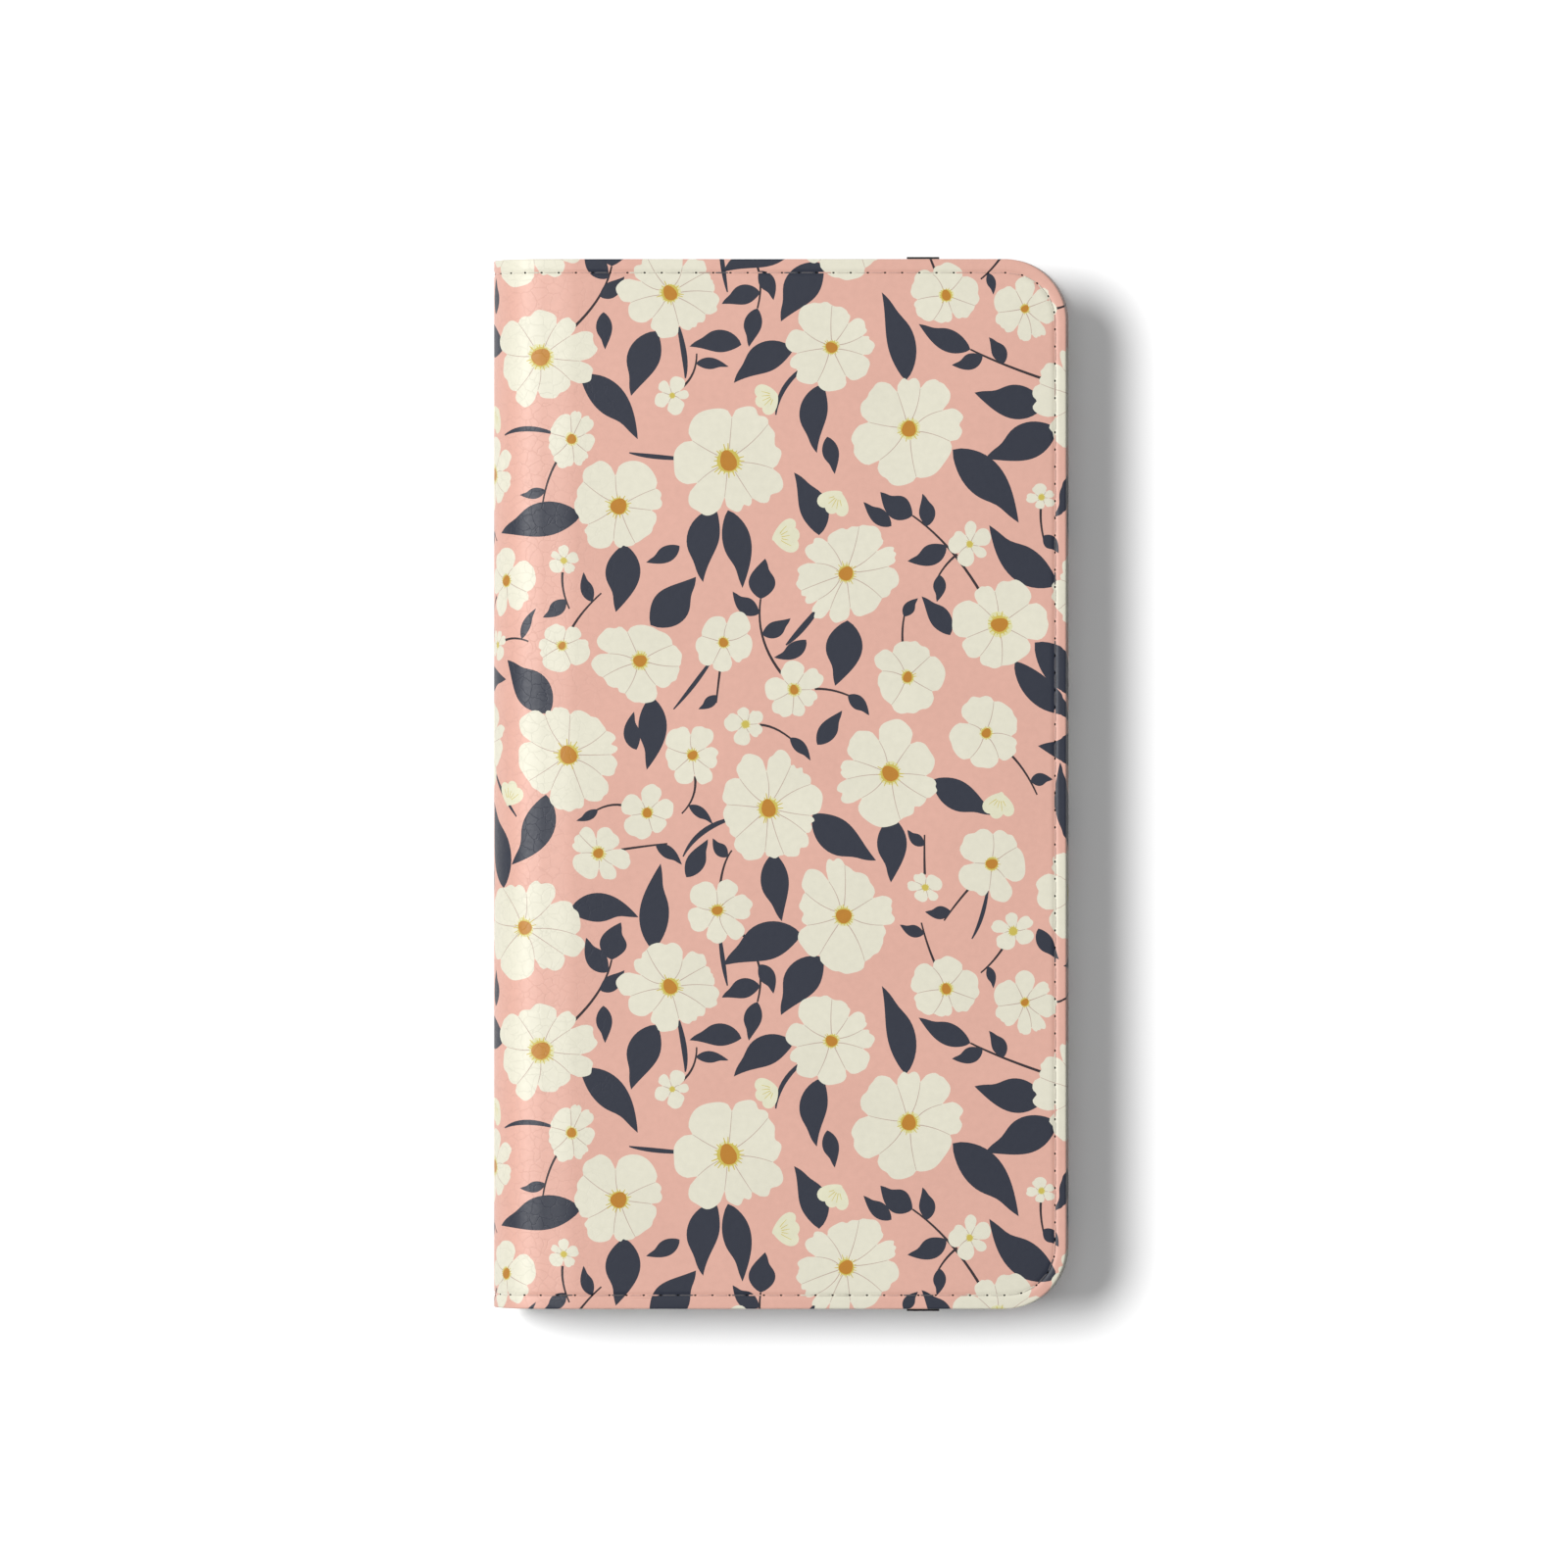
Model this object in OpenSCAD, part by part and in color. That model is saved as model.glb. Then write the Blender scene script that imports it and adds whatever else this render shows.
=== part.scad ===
// Folio phone case: a printed leather cover that wraps round a hard phone shell.
// The case lies closed on its back cover. +Y is the top of the phone, +X is the
// opening edge, and -X is the half-round spine. The origin is the middle of the
// case's footprint, on the surface that it rests on.

/* [Phone] */
// Width of the phone that the shell holds
phone_w = 77.5; // [72:0.5:78]
// Length of the phone that the shell holds
phone_l = 158; // [150:0.5:159]
// Thickness of the phone that the shell holds
phone_t = 8; // [7:0.5:10]
// Room between the phone and the shell's wall
phone_clearance = 0.25; // [0.1:0.05:0.3]

/* [Cover] */
// Width of the closed cover, spine to opening edge
cover_w = 90.5; // [90:0.5:96]
// Length of the cover
cover_l = 165; // [164.5:0.5:172]
// Radius of the cover's two corners at the opening edge
corner_r = 9.7; // [6:0.1:12]
// Thickness of the printed leather
skin_t = 0.8; // [0.6:0.1:1]
// Thickness of the stiffening board
board_t = 1; // [0.8:0.1:1.4]
// Thickness of the inner lining
lining_t = 0.4; // [0.3:0.1:0.6]

/* [Spine] */
// Gap between neighbouring strips
fold_gap = 0.3; // [0.2:0.05:0.4]

/* [Stitching] */
// Distance from the cover's edge to the middle of the seam
seam_inset = 2.15; // [1.8:0.05:3]
// Width of the thread
thread_w = 0.4; // [0.3:0.05:0.6]
// Depth that the thread is sunk into the leather
thread_depth = 0.3; // [0.2:0.05:0.4]

/* [Pockets] */
// Thickness of one pocket panel
panel_t = 0.4; // [0.3:0.05:0.5]
// Height of the card panels along the spine
card_panel_l = 94; // [90:1:110]
// Step from one pocket's mouth to the next
pocket_step = 9; // [8:0.5:10]
// Radius of the thumb notch in each pocket's mouth
notch_r = 7; // [5:0.5:7.5]

/* [Phone shell] */
// Thickness of the shell's side walls
shell_wall = 1.2; // [1:0.1:1.4]
// Thickness of the shell's floor
shell_floor = 1; // [0.8:0.1:1.5]
// How far the retaining lip reaches over the phone
lip_in = 0.4; // [0.2:0.1:0.6]
// Height of the retaining lip
lip_h = 0.4; // [0.3:0.1:0.6]
// Radius of the phone's corners
phone_corner_r = 8.55; // [6:0.05:10]
// Width of each release tab
tab_w = 5.1; // [4:0.1:8]
// How far a release tab stands out past the cover
tab_out = 0.5; // [0.3:0.1:1]

/* [Camera window] */
// Width of the camera window
camera_w = 36; // [30:1:38]
// Length of the camera window
camera_l = 38; // [30:1:42]
// Distance from the phone's top and opening-side edges to the window
camera_edge = 4; // [3:0.5:6]

/* [Hidden] */
$fn = 64;
eps = 0.5;

print_colour = [0.85, 0.62, 0.55];
lining_colour = [0.16, 0.16, 0.17];
shell_colour = [0.06, 0.06, 0.07];
thread_colour = [0.95, 0.82, 0.76];
board_colour = [0.62, 0.52, 0.40];
magnet_colour = [0.70, 0.70, 0.73];
adhesive_colour = [0.88, 0.88, 0.84];

// The stack of layers, from the rest face up to the phone's seat.
back_board_z = skin_t;
back_lining_z = back_board_z + board_t;
adhesive_t = 0.2;
adhesive_z = back_lining_z + lining_t;
shell_z = adhesive_z + adhesive_t;
seat_z = shell_z + shell_floor;
lip_z = seat_z + phone_t;
shell_top_z = lip_z + lip_h;

// The front cover hangs over the shell with a small closing gap.
closing_gap = 0.4;
pocket_panels = 4;
panel_z = shell_top_z + closing_gap;
front_lining_z = panel_z + pocket_panels * panel_t;
front_board_z = front_lining_z + lining_t;
front_skin_z = front_board_z + board_t;
case_t = front_skin_z + skin_t;

// The spine is half a tube as thick as the closed case, cut into strips that fold.
spine_strips = 3;
spine_r = case_t / 2;
spine_x = -cover_w / 2 + spine_r;
fold_angle = 180 / (spine_strips + 1);
gap_angle = fold_gap / spine_r * 90 / PI;
lining_r = spine_r - skin_t;
edge_wall = skin_t;
board_gap = 0.6;
board_x = spine_x + board_gap;

// The shell sits one closing margin inside the opening edge.
shell_w = phone_w + 2 * (phone_clearance + shell_wall);
shell_l = phone_l + 2 * (phone_clearance + shell_wall);
shell_margin = 2.05;
shell_x = cover_w / 2 - shell_margin - shell_w / 2;
shell_corner_r = phone_corner_r + phone_clearance + shell_wall;
cavity_w = phone_w + 2 * phone_clearance;
cavity_l = phone_l + 2 * phone_clearance;
cavity_r = phone_corner_r + phone_clearance;
tab_x = 22.4;
tab_h = 1.6;

camera_x = shell_x + phone_w / 2 - camera_edge - camera_w / 2;
camera_y = phone_l / 2 - camera_edge - camera_l / 2;
camera_r = 9;
collar_wall = 1;
collar_z = 0.3;
window_play = 0.15;

magnet_w = 3;
magnet_l = 20;
magnet_inset = 3.75;
magnet_x = cover_w / 2 - magnet_inset;
magnet_y = 22;
magnet_play = 0.1;

panel_inset = 1.2;
pocket_mouth_x = -33;
card_edge_inset = 2.25;
card_seam_inset = 1.6;
card_thread_depth = 0.2;

// A flat plate as large as the cover, set in from its three open edges by inset.
module cover_outline(left, inset) {
    right = cover_w / 2 - inset;
    half_l = cover_l / 2 - inset;
    r = corner_r - inset;
    translate([left, -half_l]) square([right - r - left, 2 * half_l]);
    translate([left, r - half_l]) square([right - left, 2 * (half_l - r)]);
    for (side = [-1, 1])
        translate([right - r, side * (half_l - r)]) circle(r);
}

// A rectangle with four round corners, about the origin.
module round_rect(w, l, r) {
    square([w - 2 * r, l], center = true);
    square([w, l - 2 * r], center = true);
    for (sx = [-1, 1], sy = [-1, 1])
        translate([sx * (w / 2 - r), sy * (l / 2 - r)]) circle(r);
}

module slab(z, t) {
    translate([0, 0, z]) linear_extrude(t) children();
}

// Extrudes a section drawn in the XZ plane along the spine.
module along_spine(length) {
    rotate([90, 0, 0]) linear_extrude(length, center = true) children();
}

function on_arc(r, angle) = [spine_x - r * sin(angle), spine_r + r * cos(angle)];

// A stretch of the spine's tube; the angle runs from the front face to the back face.
module spine_band(outer, inner, from, to) {
    reach = 2 * outer;
    intersection() {
        translate([spine_x, spine_r]) difference() {
            circle(outer, $fn = 128);
            circle(inner, $fn = 128);
        }
        polygon([[spine_x, spine_r], on_arc(reach, from), on_arc(reach, to)]);
    }
}

module spine_strip(outer, inner, index, length) {
    // Strip 1 is next to the back cover, and the last strip is next to the front cover.
    from = 180 - (index + 0.5) * fold_angle + gap_angle;
    to = 180 - (index - 0.5) * fold_angle - gap_angle;
    along_spine(length) spine_band(outer, inner, from, to);
}

module seam_line(inset, w) {
    difference() {
        cover_outline(spine_x, inset - w / 2);
        cover_outline(spine_x - eps, inset + w / 2);
    }
}

module camera_window(z, t) {
    hole = collar_wall + window_play;
    translate([camera_x, camera_y, z - eps])
        linear_extrude(t + 2 * eps)
            round_rect(camera_w + 2 * hole, camera_l + 2 * hole, camera_r + hole);
}

module magnet_pair(z, t, play) {
    for (side = [-1, 1])
        translate([magnet_x, side * magnet_y, z + t / 2])
            cube([magnet_w + 2 * play, magnet_l + 2 * play, t], center = true);
}

// The printed leather of one cover as it lies at the bottom: plate, turned edge and spine end.
module cover_skin() {
    difference() {
        slab(0, skin_t + board_t + lining_t) cover_outline(spine_x, 0);
        slab(skin_t, board_t + lining_t + eps) cover_outline(spine_x - eps, edge_wall);
        slab(-eps, thread_depth + eps) seam_line(seam_inset, thread_w);
    }
    along_spine(cover_l) spine_band(spine_r, lining_r, 180 - fold_angle / 2 + gap_angle, 180);
}

// The lining of one cover as it lies at the bottom, with its step down to the spine.
module cover_lining() {
    step_w = lining_t;
    length = cover_l - 2 * edge_wall;
    slab(back_lining_z, lining_t) cover_outline(board_x - step_w, edge_wall);
    translate([board_x - step_w, -length / 2, skin_t]) cube([step_w, length, board_t + lining_t]);
    translate([spine_x, -length / 2, skin_t]) cube([board_x - spine_x, length, lining_t]);
    along_spine(length)
        spine_band(lining_r, lining_r - lining_t, 180 - fold_angle / 2 + gap_angle, 180);
}

module cover_board(z) {
    difference() {
        slab(z, board_t) cover_outline(board_x, edge_wall);
        magnet_pair(z - eps, board_t + 2 * eps, magnet_play);
    }
}

// Turns a cover drawn at the bottom into the cover on top.
module as_front() {
    translate([0, 0, case_t]) mirror([0, 0, 1]) children();
}

module back_skin() {
    color(print_colour) difference() {
        cover_skin();
        camera_window(0, skin_t);
    }
}

module back_board() {
    color(board_colour) difference() {
        cover_board(back_board_z);
        camera_window(back_board_z, board_t);
    }
}

module back_lining() {
    color(lining_colour) difference() {
        cover_lining();
        camera_window(back_lining_z, lining_t);
    }
}

module back_magnets() {
    color(magnet_colour) magnet_pair(back_board_z, board_t, 0);
}

module back_thread() {
    color(thread_colour) slab(0, thread_depth) seam_line(seam_inset, thread_w);
}

module shell_adhesive() {
    margin = 4;
    color(adhesive_colour) difference() {
        translate([shell_x, 0, adhesive_z])
            linear_extrude(adhesive_t)
                round_rect(shell_w - 2 * margin, shell_l - 2 * margin, shell_corner_r - margin);
        camera_window(adhesive_z, adhesive_t);
    }
}

// Notches in the shell's walls for the phone's sockets and side keys.
module shell_wall_cuts() {
    notch_z = seat_z + 1.6;
    port_w = 32;
    volume_y = 35;
    volume_l = 42;
    power_y = 32;
    power_l = 26;
    microphone_x = -14;
    deep = 4 * shell_wall;
    translate([shell_x - port_w / 2, -shell_l / 2 - deep / 2, notch_z])
        cube([port_w, deep, phone_t]);
    translate([shell_x - shell_w / 2 - deep / 2, volume_y - volume_l / 2, notch_z])
        cube([deep, volume_l, phone_t]);
    translate([shell_x + shell_w / 2 - deep / 2, power_y - power_l / 2, notch_z])
        cube([deep, power_l, phone_t]);
    translate([shell_x + microphone_x, shell_l / 2, seat_z + phone_t / 2])
        rotate([90, 0, 0]) cylinder(h = deep, r = 1.2, center = true);
}

module release_tabs() {
    tab_l = cover_l / 2 + tab_out - shell_l / 2 + shell_wall / 2;
    for (side = [-1, 1])
        translate([tab_x, side * (cover_l / 2 + tab_out - tab_l / 2), shell_top_z - tab_h / 2])
            cube([tab_w, tab_l, tab_h], center = true);
}

module phone_shell() {
    color(shell_colour) {
        difference() {
            translate([shell_x, 0, 0]) difference() {
                slab(shell_z, shell_top_z - shell_z) round_rect(shell_w, shell_l, shell_corner_r);
                slab(seat_z, phone_t) round_rect(cavity_w, cavity_l, cavity_r);
                slab(lip_z - eps / 2, lip_h + eps)
                    round_rect(cavity_w - 2 * lip_in, cavity_l - 2 * lip_in, cavity_r - lip_in);
            }
            shell_wall_cuts();
            translate([camera_x, camera_y, shell_z - eps])
                linear_extrude(shell_floor + 2 * eps) round_rect(camera_w, camera_l, camera_r);
        }
        release_tabs();
        translate([camera_x, camera_y, collar_z])
            linear_extrude(shell_z - collar_z) difference() {
                round_rect(camera_w + 2 * collar_wall, camera_l + 2 * collar_wall,
                           camera_r + collar_wall);
                round_rect(camera_w, camera_l, camera_r);
            }
    }
}

module spine_skin(index) {
    color(print_colour) spine_strip(spine_r, lining_r, index, cover_l);
}

module spine_lining(index) {
    color(lining_colour)
        spine_strip(lining_r, lining_r - lining_t, index, cover_l - 2 * edge_wall);
}

module front_skin() {
    color(print_colour) as_front() cover_skin();
}

module front_board() {
    color(board_colour) cover_board(front_board_z);
}

module front_lining() {
    color(lining_colour) as_front() cover_lining();
}

module cover_magnets() {
    color(magnet_colour) magnet_pair(front_board_z, board_t, 0);
}

module front_thread() {
    color(thread_colour) as_front() slab(0, thread_depth) seam_line(seam_inset, thread_w);
}

// The half-round cut that lets a thumb reach what is in a pocket.
module thumb_notch(mouth_x) {
    translate([mouth_x, 0]) circle(notch_r);
}

module cash_pocket() {
    color(lining_colour) slab(front_lining_z - panel_t, panel_t) difference() {
        cover_outline(pocket_mouth_x, panel_inset);
        thumb_notch(pocket_mouth_x);
    }
}

function card_mouth_x(index) = pocket_mouth_x + index * pocket_step;
card_edge_x = cover_w / 2 - card_edge_inset;

module card_slot(index) {
    mouth = card_mouth_x(index);
    color(lining_colour) difference() {
        slab(front_lining_z - (index + 1) * panel_t, panel_t) difference() {
            translate([mouth, -card_panel_l / 2]) square([card_edge_x - mouth, card_panel_l]);
            thumb_notch(mouth);
        }
        pocket_seam(eps);
    }
}

// The seam that holds the card panels, sunk into the face of the top panel.
module pocket_seam(below) {
    mouth = card_mouth_x(3);
    seam_x = card_edge_x - card_seam_inset;
    seam_y = card_panel_l / 2 - card_seam_inset;
    slab(panel_z - below, card_thread_depth + below) difference() {
        translate([mouth, -seam_y - thread_w / 2])
            square([seam_x + thread_w / 2 - mouth, 2 * seam_y + thread_w]);
        translate([mouth - eps, -seam_y + thread_w / 2])
            square([seam_x - thread_w / 2 - mouth + eps, 2 * seam_y - thread_w]);
    }
}

module pocket_thread() {
    color(thread_colour) pocket_seam(0);
}

back_skin();
back_board();
back_lining();
back_magnets();
back_thread();
shell_adhesive();
phone_shell();
spine_skin(1);  // spine_skin_1
spine_skin(2);  // spine_skin_2
spine_skin(3);  // spine_skin_3
spine_lining(1);  // spine_lining_1
spine_lining(2);  // spine_lining_2
spine_lining(3);  // spine_lining_3
front_skin();
front_board();
front_lining();
cover_magnets();
front_thread();
cash_pocket();
card_slot(1);  // card_slot_1
card_slot(2);  // card_slot_2
card_slot(3);  // card_slot_3
pocket_thread();
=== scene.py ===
"""Looks of a folio phone case: printed leather with a rolled edge and stitches, lining, pockets
and a moulded phone shell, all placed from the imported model. Lengths are in millimetres until a
mesh is made."""

import math
import random

import bmesh
import bpy
import numpy as np
from mathutils.geometry import delaunay_2d_cdt
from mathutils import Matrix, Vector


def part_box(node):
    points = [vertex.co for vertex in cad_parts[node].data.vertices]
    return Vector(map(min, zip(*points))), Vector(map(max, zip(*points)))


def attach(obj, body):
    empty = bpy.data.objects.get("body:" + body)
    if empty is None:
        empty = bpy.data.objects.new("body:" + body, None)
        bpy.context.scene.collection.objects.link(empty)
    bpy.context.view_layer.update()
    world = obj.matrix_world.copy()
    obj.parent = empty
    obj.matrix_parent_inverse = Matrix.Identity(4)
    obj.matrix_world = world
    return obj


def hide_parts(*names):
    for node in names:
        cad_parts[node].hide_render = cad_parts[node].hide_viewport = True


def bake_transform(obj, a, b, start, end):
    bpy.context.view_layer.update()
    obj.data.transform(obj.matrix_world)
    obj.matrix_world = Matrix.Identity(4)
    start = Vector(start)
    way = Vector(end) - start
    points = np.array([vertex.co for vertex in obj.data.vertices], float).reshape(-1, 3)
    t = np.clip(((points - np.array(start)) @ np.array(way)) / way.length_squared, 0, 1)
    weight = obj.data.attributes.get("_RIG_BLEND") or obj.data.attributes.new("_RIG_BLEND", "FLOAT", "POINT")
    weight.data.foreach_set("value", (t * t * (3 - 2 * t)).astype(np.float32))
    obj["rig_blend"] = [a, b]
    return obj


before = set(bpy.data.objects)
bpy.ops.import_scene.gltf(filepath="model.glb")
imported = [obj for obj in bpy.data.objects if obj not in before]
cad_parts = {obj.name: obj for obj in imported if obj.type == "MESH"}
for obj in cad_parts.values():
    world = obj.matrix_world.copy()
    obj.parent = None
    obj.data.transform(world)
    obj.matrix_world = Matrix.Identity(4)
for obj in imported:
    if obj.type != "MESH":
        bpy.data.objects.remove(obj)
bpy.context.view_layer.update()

# ---------------- sizes

MM = 0.001


def node_box(name):
    """Lowest and highest corner of a CAD node, in millimetres."""
    low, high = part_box(name)
    return np.array(low) / MM, np.array(high) / MM


SKIN_HIGH = node_box("front_skin")[1]
BOARD_LOW, BOARD_HIGH = node_box("front_board")
LINING_LOW, LINING_HIGH = node_box("front_lining")
SPINE_LOW = node_box("spine_skin_2")[0]
THREAD_HIGH = node_box("front_thread")[1]

TOP_Z = SKIN_HIGH[2]  # the closed case's thickness
RADIUS = TOP_Z / 2  # of the round spine
SPINE_X = SPINE_LOW[0] + RADIUS  # axis of the round spine
EDGE_X = SKIN_HIGH[0]  # opening edge of the cover
EDGE_Y = SKIN_HIGH[1]  # top edge of the cover
CORNER = 9.7  # radius of the cover's corners
SKIN_T = SKIN_HIGH[2] - BOARD_HIGH[2]  # leather
LINING_T = BOARD_LOW[2] - LINING_LOW[2]
COVER_T = SKIN_HIGH[2] - LINING_LOW[2]  # leather, board and lining
SPINE_T = SKIN_T + LINING_T  # leather and lining
RIM = EDGE_X - LINING_HIGH[0] - 0.05  # leather that shows round the lining
SEAM = EDGE_X - THREAD_HIGH[0] + 0.2  # from the edge to the middle of the seam
WINDOW_HALF = (19.15, 20.15)  # camera window in the back cover
WINDOW_CORNER = 10.15
WINDOW_X = 19.75
WINDOW_Y = 56.0

# The cover is one strip of leather round the phone. On the strip, u runs from the back cover's
# edge over the spine to the front cover's edge, and equals x on the front; v equals y.
HALF_TURN = math.pi * RADIUS  # length of leather round the spine
CROWN = SPINE_X - HALF_TURN / 2  # u at the middle of the spine
REACH = EDGE_X - CROWN  # from there to either edge
CUTS = [CROWN + HALF_TURN / 4, CROWN, CROWN - HALF_TURN / 4]  # where the strip is cut into pieces
WINDOW_UV = (2 * SPINE_X - HALF_TURN - WINDOW_X, WINDOW_Y)

ROLL = 0.25  # radius of the leather's rolled edge
TUCK = 0.3  # radius where it turns in again, under the lining's level
WALL = 1.6  # length of the wall between them
PAST_EDGE = ROLL * (math.pi / 2 - 1) + WALL + TUCK * (math.pi / 2 - 1) + RIM
WINDOW_ROLL = 0.3
WINDOW_WALL = 0.4
PAST_WINDOW = WINDOW_ROLL * (math.pi / 2 - 1) + WINDOW_WALL
LEAN = 0.4  # distance that the wall leans out along the opening edge
PITCH = 2.7  # from one stitch to the next
VALLEY = 0.14  # depth that the seam pulls the leather down
HOLE_HALF = (0.21, 0.14)  # needle holes, along and across the seam
HOLE_DEPTH = 0.3
WALL_SHADE = 0.35  # painted shade: the print on the wall is darkened by this factor
INSIDE_SHADE = 0.6  # painted shade: the leather's inner face is its ground darkened by this factor


# ---------------- the print

TILE = 109.0  # the print repeats after this distance, along and across
CELL = 0.5  # grid on which the print keeps track of what is taken

GROUND, STEM, LEAF, PETAL, VEIN, HALO, STAMEN, EYE, BUD, HOLE_SHADE = range(10)


def facing(angle):
    return np.array([math.cos(angle), math.sin(angle)])


def turned(points, angle, centre=(0.0, 0.0)):
    """The points turned about the origin and then moved to centre."""
    c = math.cos(angle)
    s = math.sin(angle)
    return np.asarray(points) @ np.array([[c, s], [-s, c]]) + np.asarray(centre)


def curve(start, middle, end, count):
    """Points along a quadratic curve that leaves start towards middle and arrives at end."""
    t = np.linspace(0.0, 1.0, count)[:, None]
    start, middle, end = map(np.asarray, (start, middle, end))
    return (1 - t) ** 2 * start + 2 * t * (1 - t) * middle + t**2 * end


def unit(vectors):
    return vectors / np.linalg.norm(vectors, axis=1)[:, None]


def left_of(ways):
    """The vectors a quarter turn to the left of others."""
    return np.column_stack([-ways[:, 1], ways[:, 0]])


def across(line):
    """Unit vectors square to a line of points."""
    return left_of(unit(np.gradient(line, axis=0)))


def closed(line):
    """A line with its first point again at its end."""
    return np.vstack([line, line[:1]])


def ribbon(line, widths):
    """A closed outline around a line of points."""
    side = across(line) * (np.asarray(widths) / 2)[:, None]
    return np.vstack([line + side, (line - side)[::-1]])


class Sprig:
    """A leaf, or a stem with leaves: outlines, and sample points of the area that they cover."""

    def __init__(self):
        self.shapes = []
        self.samples = []

    def leaf(self, base, angle, length, width, bend):
        ahead = facing(angle)
        tip = base + length * ahead
        lean = bend * length * np.array([-ahead[1], ahead[0]])
        line = curve(base, (base + tip) / 2 + lean, tip, 19)
        t = np.linspace(0.0, 1.0, 19)
        swell = np.sin(np.pi * t**0.85) ** 0.9 * (1 - 0.35 * t**2)
        hollow = 1 - 0.3 * np.exp(-(((t - 0.76) / 0.14) ** 2))
        side = across(line) * (width / 2 * swell)[:, None]
        outline = np.vstack([line + side, (line - side * hollow[:, None])[-2:0:-1]])
        self.shapes.append((LEAF, outline))
        for s in (-0.8, -0.3, 0.3, 0.8):
            self.samples.append(line + s * side)

    def stem(self, line, thick, thin):
        self.shapes.append((STEM, ribbon(line, np.linspace(thick, thin, len(line)))))
        self.samples.append(line)

    def points(self):
        return np.vstack(self.samples)

    def outside(self, centre, radius):
        """The same sprig, with no samples under the flower that it grows from."""
        self.samples = [s[np.hypot(*(s - centre).T) >= radius] for s in self.samples]
        return self


class Print:
    """A repeating print of daisies, leaves and stems, composed from a seed."""

    def __init__(self, seed):
        self.rng = random.Random(seed)
        side = int(TILE / CELL)
        self.taken = np.zeros((side, side), bool)
        self.flowers = []
        self.shapes = []
        self.place_flowers()
        self.place_leaves()
        self.place_fillers()
        for centre, radius in self.flowers:
            self.draw_flower(centre, radius)

    # -- the area that is taken

    def cells(self, points):
        k = np.floor(np.asarray(points) / CELL).astype(int) % len(self.taken)
        return k[:, 0], k[:, 1]

    def crowd(self, points):
        return self.taken[self.cells(points)].mean()

    def claim(self, points):
        self.taken[self.cells(points)] = True

    def disc(self, centre, radius):
        n = int(2 * radius / CELL) + 1
        grid = np.stack(np.meshgrid(*[np.linspace(-radius, radius, n)] * 2), -1).reshape(-1, 2)
        return grid[np.hypot(*grid.T) <= radius] + centre

    def spot(self):
        return np.array([self.rng.uniform(0, TILE), self.rng.uniform(0, TILE)])

    def gap(self, p, q):
        return math.hypot(*((p - q + TILE / 2) % TILE - TILE / 2))

    def direction(self):
        """A random direction, as an angle and as a unit vector."""
        angle = self.rng.uniform(0, math.tau)
        return angle, facing(angle)

    # -- what goes where

    def place_flowers(self):
        sizes = [*np.linspace(9.8, 7.3, 18), *np.linspace(6.2, 4.4, 15), *np.linspace(3.6, 2.5, 9)]
        for radius in sizes:
            space = 0.2 if radius > 4 else 0.8
            for _ in range(4000):
                p = self.spot()
                near = min((self.gap(p, q) - r - radius for q, r in self.flowers), default=space)
                if near >= space:
                    self.flowers.append((p, radius))
                    self.claim(self.disc(p, radius))
                    break

    def best(self, make, tries, limit):
        """Tries several sprigs, and keeps the one that lies on the least of the others."""
        found = min((make() for _ in range(tries)), key=lambda s: self.crowd(s.points()))
        if self.crowd(found.points()) > limit:
            return
        self.claim(found.points())
        self.shapes += found.shapes

    def flower_leaf(self, centre, radius):
        """One leaf that comes out from under a flower."""
        rng = self.rng
        out, ahead = self.direction()
        sprig = Sprig()
        length = rng.uniform(8.5, 14) + 0.2 * radius
        sprig.leaf(centre + 0.8 * radius * ahead, out + rng.uniform(-0.6, 0.6), length,
                   rng.uniform(4.4, 6.6), rng.uniform(-0.22, 0.22))
        own = np.hypot(*(sprig.samples[0] - centre).T) < radius
        sprig.samples = [s[~own] for s in sprig.samples]
        return sprig

    def twig(self, centre, radius):
        """A stem that leaves a flower, with leaves on both sides and one at its end."""
        rng = self.rng
        ahead = self.direction()[1]
        length = rng.uniform(9, 19)
        start = centre + radius * ahead
        end = start + length * turned([ahead], rng.uniform(-0.7, 0.7))[0]
        line = curve(start - 0.3 * radius * ahead, start + 0.5 * length * ahead, end, 12)
        sprig = Sprig()
        sprig.stem(line, 0.45, 0.28)
        side = rng.choice([-1, 1])
        heading = math.atan2(*(line[-1] - line[-2])[::-1])
        sprig.leaf(line[-1], heading, rng.uniform(6, 9.5), rng.uniform(3, 4.6),
                   rng.uniform(-0.15, 0.15))
        for k in range(9, 3, -rng.choice([2, 3])):
            size = rng.uniform(0.7, 1.1)
            angle = heading + side * rng.uniform(0.6, 1.1)
            sprig.leaf(line[k], angle, 6.8 * size, 3.6 * size, 0.15 * side)
            side = -side
        return sprig.outside(centre, radius)

    def place_leaves(self):
        for _ in range(2):
            for centre, radius in self.flowers[:18]:
                self.best(lambda: self.flower_leaf(centre, radius), 90, 0.03)
        for centre, radius in self.flowers[:31:2]:
            self.best(lambda: self.twig(centre, radius), 140, 0.05)
        for centre, radius in self.flowers[1:30:3]:
            self.best(lambda: self.blade(centre, radius), 60, 0.05)
        for centre, radius in self.flowers[18:]:
            self.best(lambda: self.shoot(centre, radius), 60, 0.06)

    def stalk(self, centre, radius, reach, swing, straight, count):
        """A curved line that leaves a flower, and the angle that it leaves at."""
        out, ahead = self.direction()
        far = radius + self.rng.uniform(*reach)
        end = centre + turned([far * ahead], self.rng.uniform(-swing, swing))[0]
        start = centre + 0.7 * radius * ahead
        return curve(start, centre + (radius + straight) * ahead, end, count), out

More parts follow.
